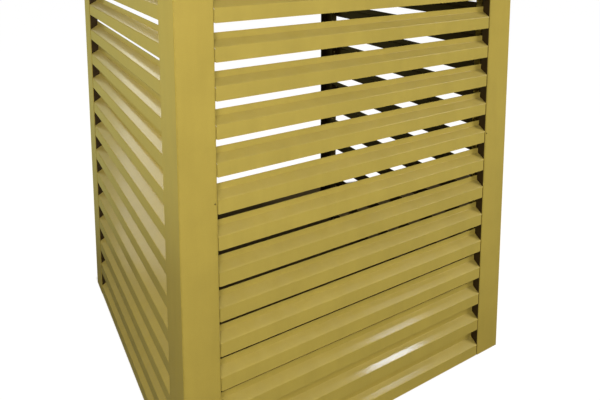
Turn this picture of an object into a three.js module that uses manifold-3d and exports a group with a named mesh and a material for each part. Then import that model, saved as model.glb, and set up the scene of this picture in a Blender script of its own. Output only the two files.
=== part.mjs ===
// Louvred sheet-metal screen that stands round an outdoor air conditioner.
// Three louvred walls between four folded corner posts, under a folded lid, with an open back.
// Millimetres. +X is to the right seen from the front, +Y is to the back, +Z is up.
// The origin is on the ground under the middle of the screen.

import * as THREE from 'three';
import { mergeVertices } from 'three/addons/utils/BufferGeometryUtils.js';
import Module from 'manifold-3d';

const wasm = await Module();
wasm.setup();

// Overall sizes: width and depth over the faces of the posts, height to the top of the lid
const bodyWidth = 960;
const bodyDepth = 920;
const height = 1330;

// Corner posts, folded from one strip each
const postSheet = 1.5;
const postFoldRadius = 1.5;
const frontPostFace = 83;
const frontPostSide = 100;
const rearPostSide = 80;
const rearPostFlange = 25;
const postReturnDepth = 24;

// One small hole beside the inner fold of each front post, at half height
const foldHoleDiameter = 3.6;
const foldHoleInset = 5.4;

// Holes in the rear flanges for screws into the wall
const wallHoleDiameter = 9;
const wallHoleHeightShares = [0.12, 0.5, 0.88];

// Louvre slats, each folded to a Z: front lip, web that rises to the back, rear lip
const slatRows = 16;
const slatSheet = 1;
const slatFoldRadius = 1.2;
const slatLip = 31;
const slatWebDepth = 22;
const slatWebRise = 12.3;
const slatRearLip = 14;
const slatSetback = 1;

// Fixing tab at each end of a slat, folded back from its front lip, with a slit up to the web's fold
const tabDepth = 20;
const tabRelief = 3;
const tabSlit = 0.8;
const tabRise = 1;
const tabRoot = 6;

// Lid, a folded pan that fits down over the posts
const lidSheet = 1.5;
const lidFoldRadius = 1;
const lidSkirt = 50;
const lidFit = 0.5;

// Clearance where one piece seats on the next, and how far a cutter runs past its wall
const seatClearance = 0.3;
const cutOverrun = 5;

// Facets in one fold and sides of one small hole
const foldFacets = 3;
const holeSides = 16;

// Places that follow from the sizes above
const slatPitch = (height - lidSkirt) / slatRows;
const postTop = height - lidSheet - seatClearance;
const lidOverhang = lidSheet + lidFit;
const frontOpening = bodyWidth - 2 * frontPostFace;
const sideOpening = bodyDepth - frontPostSide - rearPostSide;

// Folded strips

// Moves a line to the right of its direction, with mitred corners
function shiftedRight(points, distance) {
  return points.map((point, i) => {
    const before = i > 0 ? point.clone().sub(points[i - 1]).normalize() : null;
    const after = i < points.length - 1 ? points[i + 1].clone().sub(point).normalize() : null;
    const first = before ?? after;
    const second = after ?? before;
    const mitre = new THREE.Vector2(first.y + second.y, -first.x - second.x).normalize();
    const reach = distance / mitre.dot(new THREE.Vector2(first.y, -first.x));
    return point.clone().addScaledVector(mitre, reach);
  });
}

// Places along the middle of a folded strip, each with the direction across the sheet
function middleOfStrip(corners, radius) {
  const last = corners.length - 1;
  const places = [];
  corners.forEach((corner, i) => {
    const before = corner.clone().sub(corners[Math.max(i - 1, 0)]).normalize();
    const after = corners[Math.min(i + 1, last)].clone().sub(corner).normalize();
    if (i === 0 || i === last) {
      const along = i === 0 ? after : before;
      places.push({ at: corner.clone(), across: new THREE.Vector2(along.y, -along.x) });
      return;
    }
    const turn = Math.atan2(before.cross(after), before.dot(after));
    const start = corner.clone().addScaledVector(before, -radius * Math.tan(Math.abs(turn) / 2));
    const left = new THREE.Vector2(-before.y, before.x);
    const centre = start.clone().addScaledVector(left, radius * Math.sign(turn));
    for (let facet = 0; facet <= foldFacets; facet += 1) {
      const angle = (turn * facet) / foldFacets;
      places.push({
        at: start.clone().rotateAround(centre, angle),
        across: left.clone().negate().rotateAround(new THREE.Vector2(), angle),
      });
    }
  });
  return places;
}

// Outline of a folded strip. The line given is one face, the sheet lies to the right of it
function foldedOutline(face, sheet, foldRadius) {
  const points = face.map(([x, y]) => new THREE.Vector2(x, y));
  const places = middleOfStrip(shiftedRight(points, sheet / 2), foldRadius + sheet / 2);
  const leftFace = places.map(({ at, across }) => at.clone().addScaledVector(across, -sheet / 2));
  const rightFace = places.map(({ at, across }) => at.clone().addScaledVector(across, sheet / 2));
  return [...leftFace, ...rightFace.reverse()];
}

function mirrored(outline) {
  return outline.map((point) => new THREE.Vector2(-point.x, point.y));
}

function extruded(outline, length) {
  return new THREE.ExtrudeGeometry(new THREE.Shape(outline), { depth: length, bevelEnabled: false });
}

// Turns an extrusion so that its length runs along X, its width along Y and its height along Z
function laidAlongX(geometry) {
  const turn = new THREE.Matrix4().makeBasis(
    new THREE.Vector3(0, 1, 0),
    new THREE.Vector3(0, 0, 1),
    new THREE.Vector3(1, 0, 0),
  );
  return geometry.applyMatrix4(turn);
}

// Solids that can be joined and cut

function solidOf(geometry) {
  const bare = geometry.clone();
  bare.deleteAttribute('normal');
  bare.deleteAttribute('uv');
  const merged = mergeVertices(bare);
  return new wasm.Manifold(new wasm.Mesh({
    numProp: 3,
    vertProperties: new Float32Array(merged.attributes.position.array),
    triVerts: new Uint32Array(merged.index.array),
  }));
}

function geometryOf(solid) {
  const mesh = solid.getMesh();
  const geometry = new THREE.BufferGeometry();
  geometry.setAttribute('position', new THREE.BufferAttribute(mesh.vertProperties, 3));
  geometry.setIndex(new THREE.BufferAttribute(mesh.triVerts, 1));
  geometry.computeVertexNormals();
  return geometry;
}

// Round cutter along Y
function drill(diameter, length, x, y, z) {
  const geometry = new THREE.CylinderGeometry(diameter / 2, diameter / 2, length, holeSides);
  return solidOf(geometry.translate(x, y, z));
}

// Corner posts, drawn for the left side with the outer corner at zero

function frontPost(side) {
  const leftOutline = foldedOutline([
    [frontPostFace, postReturnDepth],
    [frontPostFace, 0],
    [0, 0],
    [0, frontPostSide],
    [postReturnDepth, frontPostSide],
  ], postSheet, postFoldRadius);
  const outline = side < 0 ? leftOutline : mirrored(leftOutline);
  const holeX = -side * (frontPostFace - foldHoleInset);
  const hole = drill(foldHoleDiameter, cutOverrun, holeX, postSheet / 2, height / 2);
  return geometryOf(solidOf(extruded(outline, postTop)).subtract(hole));
}

function rearPost(side) {
  const leftOutline = foldedOutline([
    [postReturnDepth, -rearPostSide],
    [0, -rearPostSide],
    [0, 0],
    [rearPostFlange, 0],
  ], postSheet, postFoldRadius);
  const outline = side < 0 ? leftOutline : mirrored(leftOutline);
  const flatStart = postSheet + postFoldRadius;
  const holeX = -side * (flatStart + rearPostFlange) / 2;
  const holes = wallHoleHeightShares.map((share) => (
    drill(wallHoleDiameter, cutOverrun, holeX, -postSheet / 2, share * height)
  ));
  return geometryOf(holes.reduce(
    (solid, hole) => solid.subtract(hole),
    solidOf(extruded(outline, postTop)),
  ));
}

// Louvre slats

// A slat along X, with the face of its front lip at Y zero and its lower edge at Z zero
function slat(length) {
  const section = foldedOutline([
    [0, 0],
    [0, slatLip],
    [slatWebDepth, slatLip + slatWebRise],
    [slatWebDepth, slatLip + slatWebRise + slatRearLip],
  ], slatSheet, slatFoldRadius);
  const bar = solidOf(laidAlongX(extruded(section, length)).translate(-length / 2, 0, 0));
  const foldStart = length / 2 - slatSheet - slatFoldRadius;
  const tabTop = slatLip - tabRelief;
  const tab = foldedOutline([
    [length / 2, tabDepth],
    [length / 2, 0],
    [foldStart - tabRoot, 0],
  ], slatSheet, slatFoldRadius);
  const body = [-1, 1].reduce((solid, side) => {
    // The front lip is cut away at its end, and the tab takes its place
    const notch = new THREE.BoxGeometry(2 * cutOverrun, 2 * cutOverrun, 2 * (tabTop + tabSlit));
    const outline = side > 0 ? tab : mirrored(tab);
    return solid
      .subtract(solidOf(notch.translate(side * (foldStart + cutOverrun), 0, 0)))
      .add(solidOf(extruded(outline, tabTop - tabRise).translate(0, 0, tabRise)));
  }, bar);
  return geometryOf(body);
}

// Lid

// Box from its lower face to its top, with the two long upper edges rounded
function roundedSlab(low, high, bottom, top, radius, length) {
  const shape = new THREE.Shape();
  shape.moveTo(low, bottom);
  shape.lineTo(high, bottom);
  shape.absarc(high - radius, top - radius, radius, 0, Math.PI / 2, false);
  shape.absarc(low + radius, top - radius, radius, Math.PI / 2, Math.PI, false);
  const options = { depth: length, bevelEnabled: false, curveSegments: foldFacets };
  return new THREE.ExtrudeGeometry(shape, options);
}

// Block with all four upper edges rounded
function roundedBlock(halfWidth, front, back, bottom, top, radius) {
  const across = roundedSlab(-halfWidth, halfWidth, bottom, top, radius, back - front);
  const along = roundedSlab(front, back, bottom, top, radius, 2 * halfWidth);
  const first = solidOf(across.rotateX(Math.PI / 2).translate(0, back, 0));
  const second = solidOf(laidAlongX(along).translate(-halfWidth, 0, 0));
  return first.intersect(second);
}

function lid() {
  const back = bodyDepth / 2;
  const skirtBottom = height - lidSkirt;
  const underside = height - lidSheet;
  const outside = roundedBlock(bodyWidth / 2 + lidOverhang, -back - lidOverhang, back,
    skirtBottom, height, lidFoldRadius + lidSheet);
  const inside = roundedBlock(bodyWidth / 2 + lidFit, -back - lidFit, back - lidSheet,
    skirtBottom - cutOverrun, underside, lidFoldRadius);
  // The rear skirt stops short of the flanges of the rear posts
  const notchWidth = rearPostFlange + 2 * lidFit;
  const notchHeight = lidSkirt - lidSheet + cutOverrun;
  const notches = [-1, 1].map((side) => {
    const notch = new THREE.BoxGeometry(notchWidth, 2 * cutOverrun, notchHeight);
    const notchX = side * (bodyWidth / 2 + lidFit - notchWidth / 2);
    return solidOf(notch.translate(notchX, back, underside - notchHeight / 2));
  });
  return geometryOf(outside.subtract(inside).subtract(notches[0]).subtract(notches[1]));
}

// Finish: satin gold powder coat on every piece

function powderCoat(color, roughness) {
  return new THREE.MeshStandardMaterial({ color, roughness, metalness: 0.15 });
}

function piece(name, geometry, material) {
  const mesh = new THREE.Mesh(geometry, material);
  mesh.name = name;
  return mesh;
}

// Assembly

const screen = new THREE.Group();
screen.position.y = lidOverhang / 2;

for (const [word, side] of [['left', -1], ['right', 1]]) {
  const front = piece(`front_post_${word}`, frontPost(side), powderCoat(0xb39b4f, 0.42));
  front.position.set(side * bodyWidth / 2, -bodyDepth / 2, 0);
  const rear = piece(`rear_post_${word}`, rearPost(side), powderCoat(0xb39b4f, 0.42));
  rear.position.set(side * bodyWidth / 2, bodyDepth / 2, 0);
  screen.add(front, rear);
}

// A louvred wall: its slats one above the other, each seated between two post returns
function louvredWall(word, opening, turn, x, y) {
  const wall = new THREE.Group();
  const shape = slat(opening - 2 * seatClearance);
  for (let row = 0; row < slatRows; row += 1) {
    const number = String(row + 1).padStart(2, '0');
    const mesh = piece(`${word}_slat_${number}`, shape, powderCoat(0xb8a45a, 0.4));
    mesh.position.z = row * slatPitch;
    wall.add(mesh);
  }
  wall.rotation.z = turn;
  wall.position.set(x, y, 0);
  return wall;
}

const sideWallX = bodyWidth / 2 - slatSetback;
const sideWallY = (frontPostSide - rearPostSide) / 2;
screen.add(louvredWall('front', frontOpening, 0, 0, -bodyDepth / 2 + slatSetback));
screen.add(louvredWall('left', sideOpening, -Math.PI / 2, -sideWallX, sideWallY));
screen.add(louvredWall('right', sideOpening, Math.PI / 2, sideWallX, sideWallY));
screen.add(piece('lid', lid(), powderCoat(0xb09a52, 0.45)));

export default screen;
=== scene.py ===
import math

import bmesh
import bpy
from mathutils import Matrix, Vector


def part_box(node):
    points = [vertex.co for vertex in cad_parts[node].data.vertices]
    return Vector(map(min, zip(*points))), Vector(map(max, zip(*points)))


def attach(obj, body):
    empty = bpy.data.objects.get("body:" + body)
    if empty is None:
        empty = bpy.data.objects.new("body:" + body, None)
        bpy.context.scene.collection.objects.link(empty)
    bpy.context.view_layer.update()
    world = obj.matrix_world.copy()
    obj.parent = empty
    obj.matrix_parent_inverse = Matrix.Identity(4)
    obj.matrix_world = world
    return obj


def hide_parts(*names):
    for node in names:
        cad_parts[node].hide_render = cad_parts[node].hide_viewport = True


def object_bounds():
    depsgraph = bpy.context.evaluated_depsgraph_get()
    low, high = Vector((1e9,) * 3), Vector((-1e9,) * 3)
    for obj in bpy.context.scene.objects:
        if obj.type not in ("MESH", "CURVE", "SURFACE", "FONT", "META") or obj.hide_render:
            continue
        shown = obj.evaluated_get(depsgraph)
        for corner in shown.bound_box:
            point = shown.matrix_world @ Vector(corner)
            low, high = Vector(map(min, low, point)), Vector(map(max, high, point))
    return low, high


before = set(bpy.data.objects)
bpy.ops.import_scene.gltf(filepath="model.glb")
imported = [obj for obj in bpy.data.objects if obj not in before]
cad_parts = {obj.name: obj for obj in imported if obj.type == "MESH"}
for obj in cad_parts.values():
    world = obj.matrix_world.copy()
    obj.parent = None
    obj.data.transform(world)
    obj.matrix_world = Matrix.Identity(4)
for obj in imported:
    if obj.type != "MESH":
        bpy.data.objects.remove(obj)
cad_box = [list(corner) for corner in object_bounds()]
scene = bpy.context.scene


# Camera. It stands in front of the left corner at 1.2 m, tilted seven degrees down, and its
# view is taken from the lower half of an upright picture, so the lens is shifted down.
EYE = Vector((-0.8164, -1.4871, 1.2174))
TURN = Vector((1.644, -0.448, 0.394))
VIEW_WIDTH = 600
VIEW_HEIGHT = 400
FOCAL_PIXELS = 562.8
CENTRE_X = 293.6
CENTRE_Y = -0.6
SENSOR_WIDTH = 36.0
VIEW_DEPTH = 100
camera_data = bpy.data.cameras.new("camera")
camera = bpy.data.objects.new("camera", camera_data)
scene.collection.objects.link(camera)

# TURN points along the axis of the turn, and its length is the angle
rows = Matrix.Rotation(TURN.length, 3, TURN.normalized())
right, down, ahead = rows[0], rows[1], rows[2]
camera.matrix_world = Matrix.Translation(EYE) @ Matrix((
    (right.x, -down.x, -ahead.x),
    (right.y, -down.y, -ahead.y),
    (right.z, -down.z, -ahead.z),
)).to_4x4()
camera_data.sensor_width = SENSOR_WIDTH
camera_data.lens = FOCAL_PIXELS * SENSOR_WIDTH / VIEW_WIDTH
camera_data.shift_x = (VIEW_WIDTH / 2 - CENTRE_X) / VIEW_WIDTH
camera_data.shift_y = -(VIEW_HEIGHT / 2 - CENTRE_Y) / VIEW_WIDTH
camera_data.clip_end = VIEW_DEPTH
scene.camera = camera


# Corner posts. Each is one strip of 1.5 mm steel: the front ones have a face, a side and two
# returns that the slats seat against, the rear ones a return, a side and a flange to the wall.
# They are bent on a press brake, drilled, and powder coated in satin gold.
POST_SHEET = 0.0015
POST_FOLD_RADIUS = 0.0015
POST_RETURN = 0.024
FRONT_POST_FACE = 0.083
FRONT_POST_SIDE = 0.100
REAR_POST_SIDE = 0.080
REAR_POST_FLANGE = 0.025
FOLD_FACETS = 8
FOLD_STRIP = 0.003
EDGE_ROUND = 0.0003
EDGE_SEGMENTS = 2
EDGE_ANGLE = 50
FLAT_WEIGHT = 100
LEAST_SIDEWAYS = 0.1
FACE_HOLE = 0.0036
FACE_HOLE_INSET = 0.0054
WALL_HOLE = 0.009
WALL_HOLE_SHARES = (0.12, 0.5, 0.88)
HOLE_FACETS = 24
DRILL_LENGTH = 0.01
POST_GOLD = (0.468, 0.345, 0.066)
POST_ROUGHNESS = 0.36

# The coat's patterns: scale, detail and roughness. The peel's scale comes from its size
FLECK = (2600.0, 1.0, 0.5)
MOTTLE = (9.0, 4.0, 0.55)
RUNS = (38.0, 3.0, 0.6)
FOLD_SHADE_NOISE = (70.0, 3.0, 0.6)
SETTLING = (24.0, 5.0, 0.65)
BUCKLE = (5.0, 1.0, 0.4)
PEEL_DETAIL = (2.0, 0.45)
RUNS_STRETCH = (1.0, 1.0, 0.12)

# What the patterns and marks do to the colour: two ends of each, then what these become
MOTTLE_SHADES = (0.3, 0.7, 0.955, 1.045)
RUNS_SHADES = (0.3, 0.7, 0.975, 1.025)
FLECK_SHADES = (0.35, 0.65, 0.96, 1.05)
TONE_SHADES = (0.0, 1.0, 0.965, 1.035)
# Folds get a painted shade in patches, which damps the highlights on them
FOLD_SHADE_SHARES = (0.35, 0.6, 0.35, 1.0)
FOLD_PAINTED_SHADES = (0.0, 1.0, 1.0, 0.93)

# Faces that look inwards get a painted shade, near-black and without gloss, for the dark inside
INNER_SHADE_SHARES = (0.25, 0.75, 1.0, 0.0)
PAINTED_INNER_SHADE = (0.040, 0.023, 0.008)

# A little dust lies on what faces up
UPWARD = (0.35, 1.0, 0.0, 1.0)
DUST_SHARES = (0.35, 0.7, 0.2, 1.0)
DUST = (0.56, 0.53, 0.47)

# Gloss is lost over the folds, and roughness varies with mottle, peel and dust
FOLD_GLOSS = (0.0, 1.0, 1.0, 0.25)
MOTTLE_ROUGHNESS = (0.3, 0.7, -0.035, 0.035)
PEEL_ROUGHNESS = (0.3, 0.7, -0.03, 0.03)
DUST_ROUGHNESS = 1.5
COAT_GLOSS = 0.5
COAT_ROUGHNESS = 0.13
SPECULAR = 0.15

# Heights of the surface in metres
PEEL_HEIGHT = 0.000018
FLECK_HEIGHT = 0.000006
BUCKLE_HEIGHT = 0.0022
BUMP_STRENGTH = 0.6


def tree_calls(tree):
    """Short calls that fill a tree: a node with its inputs by name, a sum, a ramp and a mix."""
    def fill(socket, value):
        if isinstance(value, bpy.types.NodeSocket):
            tree.links.new(value, socket)
        elif value is not None:
            socket.default_value = value

    def node(kind, settings=None, **values):
        made = tree.nodes.new(kind)
        for key, setting in (settings or {}).items():
            setattr(made, key, setting)
        for key, value in values.items():
            named = [s for s in made.inputs if s.name.replace(" ", "_").lower() == key and s.enabled]
            for socket, item in zip(named, value if isinstance(value, list) else [value]):
                fill(socket, item)
        return made

    def sum_up(operation, first, second=None, clamp=False):
        settings = {"operation": operation, "use_clamp": clamp}
        return node("ShaderNodeMath", settings, value=[first, second]).outputs[0]

    def ramp(value, start, end, low=0.0, high=1.0, course="LINEAR"):
        return node("ShaderNodeMapRange", {"interpolation_type": course}, value=value, from_min=start,
                    from_max=end, to_min=low, to_max=high).outputs["Result"]

    def mix(factor, first, second, blend="MIX"):
        settings = {"data_type": "RGBA", "blend_type": blend}
        made = node("ShaderNodeMix", settings, factor=factor, a=first, b=second)
        return [s for s in made.outputs if s.enabled][0]

    return node, sum_up, ramp, mix


def coat_surface_group():
    """Orange peel, fleck, mottle, runs, dull folds, painted shade on folds and inward faces, a breath of
    dust.
    """
    group = bpy.data.node_groups.new("powder_coat_surface", "ShaderNodeTree")
    for name, kind, value in (
        ("Place", "NodeSocketVector", (0, 0, 0)),
        ("Colour", "NodeSocketColor", (0.5, 0.4, 0.1, 1)),
        ("Tone", "NodeSocketFloat", 0.5),
        ("Fold", "NodeSocketFloat", 0.0),
        ("Inside", "NodeSocketFloat", 0.0),
        ("Peel Size", "NodeSocketFloat", 0.0016),
        ("Gloss Roughness", "NodeSocketFloat", 0.38),
        ("Dust", "NodeSocketFloat", 0.06),
    ):
        socket = group.interface.new_socket(name, in_out="INPUT", socket_type=kind)
        socket.default_value = value
    for name, kind in (("Colour", "NodeSocketColor"), ("Roughness", "NodeSocketFloat"),
                       ("Height", "NodeSocketFloat"), ("Gloss", "NodeSocketFloat")):
        group.interface.new_socket(name, in_out="OUTPUT", socket_type=kind)
    node, sum_up, ramp, mix = tree_calls(group)
    given = group.nodes.new("NodeGroupInput").outputs

    def noise(scale, detail, roughness, place=given["Place"]):
        return node("ShaderNodeTexNoise", vector=place, scale=scale, detail=detail,
                    roughness=roughness).outputs["Fac"]

    peel = noise(sum_up("DIVIDE", 1.0, given["Peel Size"]), *PEEL_DETAIL)
    fleck = noise(*FLECK)
    mottle = noise(*MOTTLE)
    stretched = node("ShaderNodeMapping", vector=given["Place"], scale=RUNS_STRETCH).outputs[0]
    runs = noise(*RUNS, stretched)

    shade = ramp(mottle, *MOTTLE_SHADES)
    shade = sum_up("MULTIPLY", shade, ramp(runs, *RUNS_SHADES))
    shade = sum_up("MULTIPLY", shade, ramp(fleck, *FLECK_SHADES))
    shade = sum_up("MULTIPLY", shade, ramp(given["Tone"], *TONE_SHADES))
    # Painted shade over the folds, in patches
    fold_shade = sum_up("MULTIPLY", given["Fold"], ramp(noise(*FOLD_SHADE_NOISE), *FOLD_SHADE_SHARES))
    shade = sum_up("MULTIPLY", shade, ramp(fold_shade, *FOLD_PAINTED_SHADES))
    grey = node("ShaderNodeCombineColor", red=shade, green=shade, blue=shade).outputs[0]
    shaded = mix(1.0, given["Colour"], grey, "MULTIPLY")

    # Painted shade: faces that look inwards turn near-black and lose their gloss
    unshaded_share = ramp(given["Inside"], *INNER_SHADE_SHARES)
    gloss = sum_up("MULTIPLY", unshaded_share, ramp(given["Fold"], *FOLD_GLOSS))
    with_inner_shade = mix(unshaded_share, (*PAINTED_INNER_SHADE, 1), shaded)

    normal = node("ShaderNodeNewGeometry").outputs["Normal"]
    upward = ramp(node("ShaderNodeSeparateXYZ", vector=normal).outputs["Z"], *UPWARD)
    dusty = sum_up("MULTIPLY", upward, ramp(noise(*SETTLING), *DUST_SHARES))
    dusty = sum_up("MULTIPLY", dusty, given["Dust"])

    rough = sum_up("ADD", given["Gloss Roughness"], ramp(mottle, *MOTTLE_ROUGHNESS))
    rough = sum_up("ADD", rough, ramp(peel, *PEEL_ROUGHNESS))
    rough = sum_up("ADD", rough, sum_up("MULTIPLY", dusty, DUST_ROUGHNESS), clamp=True)
    height = sum_up("MULTIPLY", peel, PEEL_HEIGHT)
    height = sum_up("ADD", height, sum_up("MULTIPLY", fleck, FLECK_HEIGHT))
    height = sum_up("ADD", height, sum_up("MULTIPLY", noise(*BUCKLE), BUCKLE_HEIGHT))
    node("NodeGroupOutput", colour=mix(dusty, with_inner_shade, (*DUST, 1)), roughness=rough, height=height,
         gloss=gloss)
    return group


coat_surface = coat_surface_group()


def gold_coat(name, colour, roughness, tone_attribute=None):
    """Powder coat of one colour: the satin colour below and a thin clear gloss over it."""
    material = bpy.data.materials.new(name)
    material.use_nodes = True
    nodes, link = material.node_tree.nodes, material.node_tree.links.new
    node, sum_up = tree_calls(material.node_tree)[:2]
    shader = nodes["Principled BSDF"].inputs
    surface = nodes.new("ShaderNodeGroup")
    surface.node_tree = coat_surface
    surface.inputs["Colour"].default_value = (*colour, 1)
    surface.inputs["Gloss Roughness"].default_value = roughness
    link(node("ShaderNodeTexCoord").outputs["Object"], surface.inputs["Place"])
    for attribute, socket in (("fold", "Fold"), ("inside", "Inside"), (tone_attribute, "Tone")):
        if attribute:
            read = node("ShaderNodeAttribute", {"attribute_name": attribute})
            link(read.outputs["Fac"], surface.inputs[socket])
    bump = node("ShaderNodeBump", strength=BUMP_STRENGTH, distance=1.0, height=surface.outputs["Height"])
    link(surface.outputs["Colour"], shader["Base Color"])
    link(surface.outputs["Roughness"], shader["Roughness"])
    link(bump.outputs["Normal"], shader["Normal"])
    link(sum_up("MULTIPLY", surface.outputs["Gloss"], COAT_GLOSS), shader["Coat Weight"])
    shader["Specular IOR Level"].default_value = SPECULAR
    shader["Metallic"].default_value = 0.0
    shader["Coat Roughness"].default_value = COAT_ROUGHNESS
    return material


def folded_outline(face, sheet, radius, facets):
    """Outline of a folded strip: the line is its left face, the sheet lies to the right of it."""
    points = [Vector(point) for point in face]
    along = [(b - a).normalized() for a, b in zip(points, points[1:])]
    across = [Vector((d.y, -d.x)) for d in along]
    face_side, back_side = [points[0]], [points[0] + across[0] * sheet]
    for i in range(1, len(points) - 1):
        before, after = along[i - 1], along[i]
        turn = math.atan2(before.x * after.y - before.y * after.x, before.dot(after))
        face_is_outer = turn < 0
        face_radius = radius + (sheet if face_is_outer else 0.0)
        back_radius = face_radius - sheet if face_is_outer else face_radius + sheet
        reach = face_radius * math.tan(abs(turn) / 2)
        start = points[i] - before * reach
        centre = start + across[i - 1] * (face_radius if face_is_outer else -face_radius)
        for step in range(facets + 1):
            spin = Matrix.Rotation(turn * step / facets, 2)
            ray = spin @ (start - centre)
            face_side.append(centre + ray)
            back_side.append(centre + ray * (back_radius / face_radius))
    face_side.append(points[-1])
    back_side.append(points[-1] + across[-1] * sheet)
    return face_side + back_side[::-1]


def solid(name, builder):
    """Object of the mesh that a builder holds."""
    mesh = bpy.data.meshes.new(name)
    builder.to_mesh(mesh)
    builder.free()
    piece = bpy.data.objects.new(name, mesh)
    scene.collection.objects.link(piece)
    return piece


def upright(name, outline, bottom, top):
    """Mesh object of an outline that is drawn upwards."""
    builder = bmesh.new()
    low = [builder.verts.new((p.x, p.y, bottom)) for p in outline]
    high = [builder.verts.new((p.x, p.y, top)) for p in outline]
    builder.faces.new(low[::-1])
    builder.faces.new(high)
    count = len(outline)
    for i in range(count):
        j = (i + 1) % count
        builder.faces.new((low[i], low[j], high[j], high[i]))
    bmesh.ops.recalc_face_normals(builder, faces=builder.faces)
    return solid(name, builder)


def drill(diameter, place):
    """Round cutter that lies front to back."""
    builder = bmesh.new()
    turn = Matrix.Translation(place) @ Matrix.Rotation(math.pi / 2, 4, "X")
    bmesh.ops.create_cone(builder, cap_ends=True, segments=HOLE_FACETS, radius1=diameter / 2,
                          radius2=diameter / 2, depth=DRILL_LENGTH, matrix=turn)
    return solid("drill", builder)


def made_plain(piece):
    """Applies what the modifiers make, and removes them."""
    bpy.context.view_layer.update()
    graph = bpy.context.evaluated_depsgraph_get()
    mesh = bpy.data.meshes.new_from_object(piece.evaluated_get(graph))
    piece.modifiers.clear()
    old = piece.data
    piece.data = mesh
    bpy.data.meshes.remove(old)
    mesh.name = piece.name


def cut_away(piece, cutters):
    """Takes the cutters out of the piece, and leaves it a plain mesh."""
    for cutter in cutters:
        modifier = piece.modifiers.new("cut", "BOOLEAN")
        modifier.object = cutter
        modifier.operation = "DIFFERENCE"
        modifier.solver = "EXACT"
    made_plain(piece)
    for cutter in cutters:
        mesh = cutter.data
        bpy.data.objects.remove(cutter)
        bpy.data.meshes.remove(mesh)


def finished(piece, material, edge, strip):
    """Marks folds and faces that look inwards, rounds the sheet's edges and gives the coat."""
    mesh = piece.data
    fold = mesh.attributes.new("fold", "FLOAT", "FACE")
    # The inward mark tells the coat where to paint a near-black shade
    inside = mesh.attributes.new("inside", "FLOAT", "FACE")
    for polygon in mesh.polygons:
        corners = [mesh.vertices[i].co for i in polygon.vertices]
        longest = max((a - b).length for a, b in zip(corners, corners[1:] + corners[:1]))
        fold.data[polygon.index].value = 1.0 if polygon.area / longest < strip else 0.0
        level = polygon.normal.xy
        if level.length > LEAST_SIDEWAYS:
            outwards = [max(0.0, math.copysign(level[axis], level[axis] * polygon.center[axis]))
                        for axis in (0, 1)]
            inside.data[polygon.index].value = 1.0 - Vector(outwards).length / level.length
    mesh.materials.clear()
    mesh.materials.append(material)
    for polygon in mesh.polygons:
        polygon.material_index = 0
    mesh.shade_smooth()
    bevel = piece.modifiers.new("edge", "BEVEL")
    bevel.width = edge
    bevel.segments = EDGE_SEGMENTS
    bevel.limit_method = "ANGLE"
    bevel.angle_limit = math.radians(EDGE_ANGLE)
    weight = piece.modifiers.new("flats", "WEIGHTED_NORMAL")
    weight.keep_sharp = True
    weight.weight = FLAT_WEIGHT


post_coat = gold_coat("post_coat", POST_GOLD, POST_ROUGHNESS)
for word, side in (("left", -1), ("right", 1)):
    low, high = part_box(f"front_post_{word}")
    corner = Vector((low[0] if side < 0 else high[0], low[1]))
    outline = [corner + Vector((-side * p.x, p.y)) for p in folded_outline([
        (FRONT_POST_FACE, POST_RETURN), (FRONT_POST_FACE, 0), (0, 0), (0, FRONT_POST_SIDE),
        (POST_RETURN, FRONT_POST_SIDE)], POST_SHEET, POST_FOLD_RADIUS, FOLD_FACETS)]
    post = upright(f"front_post_sheet_{word}", outline, low[2], high[2])
    hole_x = corner.x - side * (FRONT_POST_FACE - FACE_HOLE_INSET)
    cut_away(post, [drill(FACE_HOLE, Vector((hole_x, corner.y, cad_box[1][2] / 2)))])
    finished(post, post_coat, EDGE_ROUND, FOLD_STRIP)
    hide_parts(f"front_post_{word}")
    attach(post, "root")

    low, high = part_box(f"rear_post_{word}")
    corner = Vector((low[0] if side < 0 else high[0], high[1]))
    outline = [corner + Vector((-side * p.x, p.y)) for p in folded_outline([
        (POST_RETURN, -REAR_POST_SIDE), (0, -REAR_POST_SIDE), (0, 0), (REAR_POST_FLANGE, 0)],
        POST_SHEET, POST_FOLD_RADIUS, FOLD_FACETS)]
    post = upright(f"rear_post_sheet_{word}", outline, low[2], high[2])
    hole_x = corner.x - side * (POST_SHEET + POST_FOLD_RADIUS + REAR_POST_FLANGE) / 2
    cut_away(post, [drill(WALL_HOLE, Vector((hole_x, corner.y, share * cad_box[1][2])))
                    for share in WALL_HOLE_SHARES])
    finished(post, post_coat, EDGE_ROUND, FOLD_STRIP)
    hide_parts(f"rear_post_{word}")
    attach(post, "root")


# Louvred walls. A slat is a strip of 1 mm steel folded to a Z: front lip, web that rises to the
# back, rear lip. A tab at each end of the lip is folded back and riveted to the post's return.
# Sixteen slats stand one above the other in each wall.
SLAT_SHEET = 0.001
SLAT_FOLD_RADIUS = 0.0012
SLAT_FOLD_FACETS = 6
SLAT_FOLD_STRIP = 0.002
SLAT_EDGE_ROUND = 0.0002
SLAT_LIP = 0.031
SLAT_WEB_DEPTH = 0.022
SLAT_WEB_RISE = 0.0123
SLAT_REAR_LIP = 0.014
TAB_DEPTH = 0.020
TAB_RELIEF = 0.003
TAB_SLIT = 0.0008
TAB_RISE = 0.001
TAB_LAP = 0.004
NOTCH_BLOCK = 0.02
SLAT_ROWS = 16
SLAT_GOLD = (0.468, 0.350, 0.070)
SLAT_ROUGHNESS = 0.36
FIRST_SEED = 3


def shape_tree(name, sizes):
    """New Geometry Nodes tree with the named sizes as inputs, and the calls that fill it."""
    tree = bpy.data.node_groups.new(name, "GeometryNodeTree")
    tree.interface.new_socket("Geometry", in_out="INPUT", socket_type="NodeSocketGeometry")
    for kind, socket_names in sizes:
        for socket_name in socket_names:
            tree.interface.new_socket(socket_name, in_out="INPUT", socket_type=kind)
    tree.interface.new_socket("Geometry", in_out="OUTPUT", socket_type="NodeSocketGeometry")
    node, sum_up = tree_calls(tree)[:2]

    def vector(x=0.0, y=0.0, z=0.0):
        return node("ShaderNodeCombineXYZ", x=x, y=y, z=z).outputs[0]

    return tree, node("NodeGroupInput").outputs, node, sum_up, vector


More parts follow.
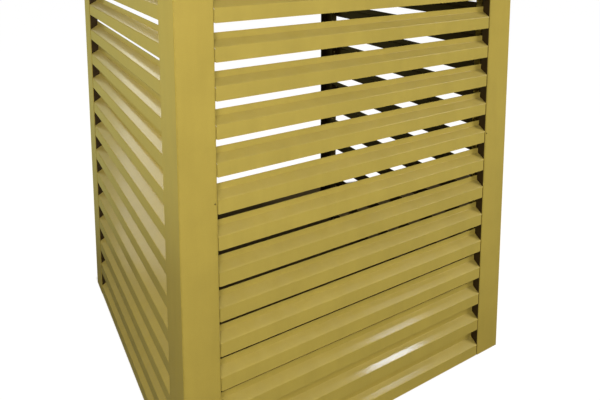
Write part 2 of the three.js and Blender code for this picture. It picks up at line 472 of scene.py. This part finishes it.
def louvred_wall_tree():
    """One slat with its two tabs, set in rows and turned to its side of the screen."""
    tree, given, node, sum_up, vector = shape_tree("louvred_wall", (
        ("NodeSocketFloat", ("Length", "Sheet", "Fold Radius", "Lip", "Web Depth", "Web Rise",
                             "Rear Lip", "Tab Depth", "Tab Relief", "Tab Slit", "Tab Rise", "Pitch")),
        ("NodeSocketInt", ("Rows", "Seed")), ("NodeSocketVector", ("Place",)),
        ("NodeSocketRotation", ("Turn",)), ("NodeSocketMaterial", ("Coat",))))
    link = tree.links.new
    half = sum_up("MULTIPLY", given["Length"], 0.5)
    half_sheet = sum_up("MULTIPLY", given["Sheet"], 0.5)
    outer = sum_up("ADD", given["Sheet"], given["Fold Radius"])

    def by_index(kind, values):
        """Gives each point its own value, in order."""
        choose = node("GeometryNodeIndexSwitch", {"data_type": kind})
        while len(choose.index_switch_items) < len(values):
            choose.index_switch_items.new()
        link(node("GeometryNodeInputIndex").outputs[0], choose.inputs[0])
        for socket, value in zip(choose.inputs[1:], values):
            if isinstance(value, bpy.types.NodeSocket):
                link(value, socket)
            else:
                socket.default_value = value
        return choose.outputs[0]

    def folded(points, radii, width, height, shift):
        """A strip that is swept along the folded line of its face."""
        line = node("GeometryNodeMeshLine", count=len(points)).outputs[0]
        bent = node("GeometryNodeSetPosition", geometry=line, position=by_index("VECTOR", points))
        curve = node("GeometryNodeMeshToCurve", mesh=bent.outputs[0]).outputs[0]
        rounded = node("GeometryNodeFilletCurve", {"mode": "POLY"}, curve=curve,
                       count=SLAT_FOLD_FACETS, radius=by_index("FLOAT", radii)).outputs[0]
        section = node("GeometryNodeCurvePrimitiveQuadrilateral", width=width, height=height)
        moved = node("GeometryNodeTransform", geometry=section.outputs[0], translation=shift)
        return node("GeometryNodeCurveToMesh", curve=rounded, profile_curve=moved.outputs[0],
                    fill_caps=True).outputs[0]

    lip_top = given["Lip"]
    web_top = sum_up("ADD", lip_top, given["Web Rise"])
    rear_top = sum_up("ADD", web_top, given["Rear Lip"])
    bar = folded(
        [vector(), vector(z=lip_top), vector(y=given["Web Depth"], z=web_top),
         vector(y=given["Web Depth"], z=rear_top)],
        [0.0, outer, given["Fold Radius"], 0.0],
        given["Length"], given["Sheet"], vector(y=half_sheet))

    # The lip's ends are cut away below the web, where the tabs are folded back
    fold_start = sum_up("SUBTRACT", half, outer)
    tab_top = sum_up("SUBTRACT", lip_top, given["Tab Relief"])
    notch_top = sum_up("ADD", tab_top, given["Tab Slit"])
    notch_size = vector(NOTCH_BLOCK, NOTCH_BLOCK, sum_up("MULTIPLY", notch_top, 2.0))
    notch = node("GeometryNodeMeshCube", size=notch_size).outputs[0]
    notch_place = sum_up("ADD", fold_start, NOTCH_BLOCK / 2)
    cut = node("GeometryNodeMeshBoolean", {"operation": "DIFFERENCE", "solver": "EXACT"})
    link(bar, cut.inputs[0])
    for x in (notch_place, sum_up("MULTIPLY", notch_place, -1.0)):
        moved = node("GeometryNodeTransform", geometry=notch, translation=vector(x=x))
        link(moved.outputs[0], cut.inputs[1])

    tab_height = sum_up("SUBTRACT", tab_top, given["Tab Rise"])
    tab = folded(
        [vector(half, given["Tab Depth"]), vector(half), vector(sum_up("SUBTRACT", fold_start, TAB_LAP))],
        [0.0, outer, 0.0],
        given["Sheet"], tab_height, vector(x=half_sheet))
    middle = sum_up("ADD", given["Tab Rise"], sum_up("MULTIPLY", tab_height, 0.5))
    right_tab = node("GeometryNodeTransform", geometry=tab, translation=vector(z=middle)).outputs[0]
    mirrored = node("GeometryNodeTransform", geometry=right_tab, scale=(-1.0, 1.0, 1.0)).outputs[0]
    left_tab = node("GeometryNodeFlipFaces", mesh=mirrored).outputs[0]
    slat = node("GeometryNodeMeshBoolean", {"operation": "UNION", "solver": "EXACT"})
    for item in (cut.outputs[0], right_tab, left_tab):
        link(item, slat.inputs[1])

    line = node("GeometryNodeMeshLine", count=given["Rows"], offset=vector(z=given["Pitch"]))
    wall = node("GeometryNodeInstanceOnPoints", points=line.outputs[0], instance=slat.outputs[0])
    tone = node("FunctionNodeRandomValue", {"data_type": "FLOAT"}, seed=given["Seed"])
    toned = node("GeometryNodeStoreNamedAttribute", {"data_type": "FLOAT", "domain": "INSTANCE"},
                 geometry=wall.outputs[0], name="slat_tone",
                 value=[s for s in tone.outputs if s.enabled][0])
    placed = node("GeometryNodeTransform", geometry=toned.outputs[0], translation=given["Place"],
                  rotation=given["Turn"])
    real = node("GeometryNodeRealizeInstances", geometry=placed.outputs[0])
    with_inner_shade = node("GeometryNodeSetMaterial", geometry=real.outputs[0], material=given["Coat"])
    node("NodeGroupOutput", geometry=with_inner_shade.outputs[0])
    return tree


def grown(name, tree, values, base=None):
    """A plain mesh object from a tree, its inputs set by their identifiers."""
    piece = bpy.data.objects.new(name, base or bpy.data.meshes.new(name))
    scene.collection.objects.link(piece)
    modifier = piece.modifiers.new("shape", "NODES")
    modifier.node_group = tree
    for item in tree.interface.items_tree:
        if item.item_type == "SOCKET" and item.in_out == "INPUT" and item.name in values:
            modifier[item.identifier] = values[item.name]
    piece.update_tag()
    made_plain(piece)
    return piece


wall_tree = louvred_wall_tree()
slat_coat = gold_coat("slat_coat", SLAT_GOLD, SLAT_ROUGHNESS, "slat_tone")
SLAT_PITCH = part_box("front_slat_02")[0][2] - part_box("front_slat_01")[0][2]
wall_ends = []
for seed, (word, turn) in enumerate((("front", 0.0), ("left", -math.pi / 2), ("right", math.pi / 2))):
    low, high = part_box(f"{word}_slat_01")
    middle = [(a + b) / 2 for a, b in zip(low, high)]
    place = {"front": (middle[0], low[1], low[2]),
             "left": (low[0], middle[1], low[2]),
             "right": (high[0], middle[1], low[2])}[word]
    length = high[0] - low[0] if word == "front" else high[1] - low[1]
    wall_ends.append((place, turn, length))
    wall = grown(f"{word}_louvres", wall_tree, {
        "Length": length, "Sheet": SLAT_SHEET, "Fold Radius": SLAT_FOLD_RADIUS, "Lip": SLAT_LIP,
        "Web Depth": SLAT_WEB_DEPTH, "Web Rise": SLAT_WEB_RISE, "Rear Lip": SLAT_REAR_LIP,
        "Tab Depth": TAB_DEPTH, "Tab Relief": TAB_RELIEF, "Tab Slit": TAB_SLIT, "Tab Rise": TAB_RISE,
        "Rows": SLAT_ROWS, "Pitch": SLAT_PITCH, "Place": place, "Turn": (0.0, 0.0, turn),
        "Seed": FIRST_SEED + seed, "Coat": slat_coat})
    finished(wall, slat_coat, SLAT_EDGE_ROUND, SLAT_FOLD_STRIP)
    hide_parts(*[f"{word}_slat_{row + 1:02d}" for row in range(SLAT_ROWS)])
    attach(wall, "root")


# Blind rivets. One aluminium rivet holds each tab to the post's return, set from inside the
# opening, so its head sits on the tab. It is lacquered with the slats and shows its mandrel.
RIVET_HEAD = 0.0064
RIVET_RISE = 0.0011
RIVET_RINGS = 6
MANDREL = 0.0018
MANDREL_LENGTH = 0.0006
RIVET_DEPTH_SHARE = 0.56
RIVET_HEIGHT_SHARE = 0.47
RIVET_CREASE = 40
RIVET_GOLD = (0.52, 0.44, 0.2)
RIVET_ROUGHNESS = 0.3


def rivet_tree():
    """A domed head with the mandrel's end on it, set on each point and turned to its axis."""
    tree, given, node, sum_up, vector = shape_tree("rivets", (
        ("NodeSocketFloat", ("Head", "Rise", "Mandrel")), ("NodeSocketMaterial", ("Finish",))))
    link = tree.links.new
    head = node("GeometryNodeMeshUVSphere", segments=RIVET_RINGS * 2, rings=RIVET_RINGS, radius=0.5)
    dome = node("GeometryNodeTransform", geometry=head.outputs[0],
                scale=vector(given["Head"], given["Head"], sum_up("MULTIPLY", given["Rise"], 2.0)))
    stub = node("GeometryNodeMeshCylinder", vertices=8, radius=sum_up("MULTIPLY", given["Mandrel"], 0.5),
                depth=MANDREL_LENGTH)
    raised = node("GeometryNodeTransform", geometry=stub.outputs[0], translation=vector(z=given["Rise"]))
    rivet = node("GeometryNodeJoinGeometry")
    for item in (dome, raised):
        link(item.outputs[0], rivet.inputs[0])
    axis = node("GeometryNodeInputNamedAttribute", {"data_type": "FLOAT_VECTOR"}, name="axis")
    turned = node("FunctionNodeAlignRotationToVector", {"axis": "Z"},
                  vector=[s for s in axis.outputs if s.enabled][0])
    placed = node("GeometryNodeInstanceOnPoints", points=given["Geometry"], instance=rivet.outputs[0],
                  rotation=turned.outputs[0])
    real = node("GeometryNodeRealizeInstances", geometry=placed.outputs[0])
    lacquered = node("GeometryNodeSetMaterial", geometry=real.outputs[0], material=given["Finish"])
    node("NodeGroupOutput", geometry=lacquered.outputs[0])
    return tree


rivet_lacquer = gold_coat("rivet_lacquer", RIVET_GOLD, RIVET_ROUGHNESS)
tab_points = []
tab_axes = []
for place, turn, length in wall_ends:
    spin = Matrix.Rotation(turn, 3, "Z")
    for row in range(SLAT_ROWS):
        for end in (-1, 1):
            point = Vector((end * (length / 2 - SLAT_SHEET), TAB_DEPTH * RIVET_DEPTH_SHARE,
                            SLAT_LIP * RIVET_HEIGHT_SHARE))
            lift = Vector((0, 0, row * SLAT_PITCH))
            tab_points.append(Vector(place) + spin @ point + lift)
            tab_axes.append(spin @ Vector((-end, 0, 0)))
base = bpy.data.meshes.new("tab_rivets")
base.from_pydata(tab_points, [], [])
axis = base.attributes.new("axis", "FLOAT_VECTOR", "POINT")
for item, facing in zip(axis.data, tab_axes):
    item.vector = facing
tab_rivets = grown("tab_rivets", rivet_tree(), {
    "Head": RIVET_HEAD, "Rise": RIVET_RISE, "Mandrel": MANDREL, "Finish": rivet_lacquer}, base)
tab_rivets.data.shade_smooth()
tab_rivets.data.set_sharp_from_angle(angle=math.radians(RIVET_CREASE))
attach(tab_rivets, "root")


# Lid. A flat pan of 1.5 mm steel with a 50 mm skirt on all four sides, its corners left as open
# seams, that fits down over the posts. The rear skirt is notched round the posts' flanges.
LID_SHEET = 0.0015
LID_FOLD_RADIUS = 0.001
LID_SEAM = 0.0007
LID_GOLD = (0.465, 0.345, 0.068)
LID_ROUGHNESS = 0.38
NOTCH_ROOM = 0.001
NOTCH_REACH = 0.005
SEAM_REACH = 0.001
CUTTER_REACH = 0.01
CUTTER_ROUND = 0.0001
SAME_HEIGHT = 1e-6


def rounded_block(name, low, high, radius):
    """Block whose four upper edges are rounded."""
    builder = bmesh.new()
    size = Vector(high) - Vector(low)
    middle = (Vector(high) + Vector(low)) / 2
    placed = Matrix.Translation(middle) @ Matrix.Diagonal((*size, 1))
    bmesh.ops.create_cube(builder, size=1.0, matrix=placed)
    top = [edge for edge in builder.edges
           if all(abs(corner.co.z - high[2]) < SAME_HEIGHT for corner in edge.verts)]
    bmesh.ops.bevel(builder, geom=top, offset=radius, offset_type="OFFSET", segments=FOLD_FACETS,
                    profile=0.5, affect="EDGES")
    bmesh.ops.recalc_face_normals(builder, faces=builder.faces)
    return solid(name, builder)


low, high = (Vector(corner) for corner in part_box("lid"))
lid = rounded_block("lid_pan", low, high, LID_FOLD_RADIUS + LID_SHEET)
below = low.z - CUTTER_REACH
cutters = [rounded_block("hollow", (low.x + LID_SHEET, low.y + LID_SHEET, below),
                         (high.x - LID_SHEET, high.y - LID_SHEET, high.z - LID_SHEET), LID_FOLD_RADIUS)]
for side in (-1, 1):
    post_x = side * (high.x - LID_SHEET)
    notch = sorted((post_x, post_x - side * (REAR_POST_FLANGE + NOTCH_ROOM)))
    cutters.append(rounded_block("notch", (notch[0], high.y - NOTCH_REACH, below),
                                 (notch[1], high.y + NOTCH_REACH, high.z - LID_SHEET), CUTTER_ROUND))
    across = sorted((side * (high.x + SEAM_REACH), side * (high.x - LID_SHEET - SEAM_REACH)))
    for y, into in ((low.y, 1), (high.y, -1)):
        along = sorted((y + into * LID_SHEET, y + into * (LID_SHEET + LID_SEAM)))
        seam_top = high.z - LID_FOLD_RADIUS - LID_SHEET
        cutters.append(rounded_block("seam", (across[0], along[0], below),
                                     (across[1], along[1], seam_top), CUTTER_ROUND))
cut_away(lid, cutters)
lid_coat = gold_coat("lid_coat", LID_GOLD, LID_ROUGHNESS)
finished(lid, lid_coat, EDGE_ROUND, FOLD_STRIP)
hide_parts("lid")
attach(lid, "root")


# Studio floor. It glows white away from the object. Near it lies a painted shadow, a dark zone that
# runs from the footprint to the right and back. The coat mirrors it dark nearby and pale far away.
FLOOR_REACH = 30
FLOOR_PAINTED_SHADOW = (0.085, 0.062, 0.027)
FLOOR_SEEN_BY_PIECES = (0.25, 0.24, 0.12)
FLOOR_IN_COAT = 0.62
FLOOR_TINT_IN_COAT = (1.0, 0.98, 0.35)
FLOOR_PALE_FROM = 0.8
FLOOR_PALE_WITHIN = 0.45
SHADOW_LOW = Vector((-0.482, -0.461))
SHADOW_HIGH = Vector((0.706, 0.667))
SHADOW_END = Vector((1.40, 0))
SHADOW_ASIDE = Vector((0.620, -0.785)).normalized()

# The painted shadow's edges: the way out, a point on the edge, and where the white begins and is full
SHADOW_EDGES = (
    (Vector((-1, 0)), SHADOW_LOW, -0.02, 0.003),
    (Vector((0, -1)), SHADOW_LOW, -0.02, 0.003),
    (Vector((1, 0)), SHADOW_END, -0.10, 0.10),
    (Vector((0.25, 0.968)), SHADOW_HIGH, -0.012, 0.012),
    (SHADOW_ASIDE, Vector((-SHADOW_LOW.x, SHADOW_LOW.y)), -0.06, -0.01),
    (-SHADOW_ASIDE, Vector((SHADOW_LOW.x, -SHADOW_LOW.y)), -0.02, 0.03),
)
WHITE = (1, 1, 1, 1)


def ray_kind(tree, *names):
    """One where the ray is of one of the named kinds."""
    node, sum_up = tree_calls(tree)[:2]
    path = node("ShaderNodeLightPath").outputs
    total = path[names[0]]
    for name in names[1:]:
        total = sum_up("ADD", total, path[name], clamp=True)
    return total


def floor_material():
    """Glows white to the camera beyond the painted shadow, pale in the coat, and is lit as a dull floor
    too.
    """
    material = bpy.data.materials.new("studio_floor")
    material.use_nodes = True
    tree = material.node_tree
    tree.nodes.remove(tree.nodes["Principled BSDF"])
    node, sum_up, ramp, mix = tree_calls(tree)
    place = node("ShaderNodeTexCoord").outputs["Object"]
    x, y, _ = node("ShaderNodeSeparateXYZ", vector=place).outputs
    clear = None
    for out, point, start, end in SHADOW_EDGES:
        reached = sum_up("ADD", sum_up("MULTIPLY", x, out.x), sum_up("MULTIPLY", y, out.y))
        edge = ramp(sum_up("SUBTRACT", reached, out.dot(point)), start, end, course="SMOOTHSTEP")
        clear = edge if clear is None else sum_up("MAXIMUM", clear, edge)

    away = sum_up("SQRT", sum_up("ADD", sum_up("POWER", x, 2.0), sum_up("POWER", y, 2.0)))
    beyond = sum_up("MAXIMUM", sum_up("SUBTRACT", away, FLOOR_PALE_FROM), 0.0)
    pale = sum_up("DIVIDE", beyond, sum_up("ADD", beyond, FLOOR_PALE_WITHIN))
    camera_ray = ray_kind(tree, "Is Camera Ray")
    glossy_ray = ray_kind(tree, "Is Glossy Ray", "Is Transmission Ray")
    seen = sum_up("MULTIPLY", camera_ray, clear)
    mirrored = sum_up("MULTIPLY", sum_up("MULTIPLY", glossy_ray, pale), FLOOR_IN_COAT)
    glow = node("ShaderNodeEmission", strength=sum_up("ADD", seen, mirrored),
                color=mix(glossy_ray, WHITE, (*FLOOR_TINT_IN_COAT, 1)))
    # To the camera the floor is near-black where no white glows, a painted shadow
    lit = node("ShaderNodeBsdfDiffuse",
               color=mix(camera_ray, (*FLOOR_SEEN_BY_PIECES, 1), (*FLOOR_PAINTED_SHADOW, 1)))
    both = node("ShaderNodeAddShader", shader=[glow.outputs[0], lit.outputs[0]])
    tree.links.new(both.outputs[0], tree.nodes["Material Output"].inputs["Surface"])
    return material


floor_mesh = bpy.data.meshes.new("floor")
floor_mesh.from_pydata([(x * FLOOR_REACH, y * FLOOR_REACH, 0)
                        for x, y in ((-1, -1), (1, -1), (1, 1), (-1, 1))], [], [(0, 1, 2, 3)])
floor = bpy.data.objects.new("floor", floor_mesh)
scene.collection.objects.link(floor)
floor.data.materials.append(floor_material())


# Studio room. It is white where the camera sees it. In the coat's sheen it has a low window
# behind the object, which fades out to the left, and a dimmer ceiling in front.
ROOM_TINT_IN_COAT = (0.95, 1.0, 0.5)
WINDOW_FOOT = (0.20, 0.30)
WINDOW_HEAD = (0.48, 0.38)
WINDOW_SIDE = (0.55, 0.05)
WINDOW_BEHIND = (0.0, 0.3)
CEILING_FOOT = (0.55, 0.70)
CEILING_IN_FRONT = (0.4, 0.2)
CEILING_SHEEN = 0.45
room = bpy.data.worlds.new("studio")
scene.world = room
room.use_nodes = True
node, sum_up, ramp, mix = tree_calls(room.node_tree)
direction = node("ShaderNodeTexCoord").outputs["Generated"]
way = node("ShaderNodeSeparateXYZ", vector=direction).outputs
window = sum_up("MULTIPLY", ramp(way[2], *WINDOW_FOOT), ramp(way[2], *WINDOW_HEAD))
window = sum_up("MULTIPLY", window, ramp(sum_up("MULTIPLY", way[0], -1.0), *WINDOW_SIDE))
window = sum_up("MULTIPLY", window, ramp(way[1], *WINDOW_BEHIND))
ceiling = sum_up("MULTIPLY", ramp(way[2], *CEILING_FOOT), ramp(way[1], *CEILING_IN_FRONT))
bright = sum_up("MAXIMUM", window, sum_up("MULTIPLY", ceiling, CEILING_SHEEN))
sheen = sum_up("MULTIPLY", bright, ray_kind(room.node_tree, "Is Glossy Ray", "Is Transmission Ray"))
background = room.node_tree.nodes["Background"].inputs
strength = sum_up("ADD", ray_kind(room.node_tree, "Is Camera Ray"), sheen)
tint = mix(ray_kind(room.node_tree, "Is Glossy Ray"), WHITE, (*ROOM_TINT_IN_COAT, 1))
room.node_tree.links.new(strength, background["Strength"])
room.node_tree.links.new(tint, background["Color"])


# Lamps. Soft boxes stand in front, to the right, off the front left corner, to the left and
# behind. A small cool tube, high on the right, draws the streak on the second lowest front slat.
def soft_lamp(name, place, target, size, power, height=None, along=(1, 0, 0), colour=(1, 1, 1)):
    """Area lamp that faces the target, its long side along the given direction."""
    data = bpy.data.lights.new(name, "AREA")
    data.shape = "RECTANGLE"
    data.size = size
    data.size_y = height or size
    data.energy = power
    data.color = colour
    lamp = bpy.data.objects.new(name, data)
    back = (Vector(place) - Vector(target)).normalized()
    top = back.cross(Vector(along)).normalized()
    turn = Matrix((top.cross(back), top, back)).transposed()
    lamp.matrix_world = Matrix.Translation(place) @ turn.to_4x4()
    scene.collection.objects.link(lamp)


soft_lamp("front_softbox", (0.2, -5.0, 1.6), (0, 0, 0.6), 1.4, 36)
soft_lamp("right_softbox", (3.0, -2.6, 2.6), (0, 0, 0.6), 1.4, 92)
soft_lamp("corner_softbox", (-1.3, -1.9, 1.5), (0, -0.4, 0.9), 0.8, 23)
soft_lamp("left_softbox", (-1.9, -0.3, 2.0), (-0.4, 0, 0.8), 1.0, 19)
soft_lamp("rear_softbox", (-0.9, 3.2, 2.9), (-0.3, 0, 0.7), 2.0, 32)
soft_lamp("tube_lamp", (1.645, -1.125, 2.63), (0.15, -0.45, 0.117), 0.36, 6.5, 0.08,
          (0.59, 0.05, -0.20), (0.75, 0.82, 1.0))

scene.view_settings.view_transform = "Standard"
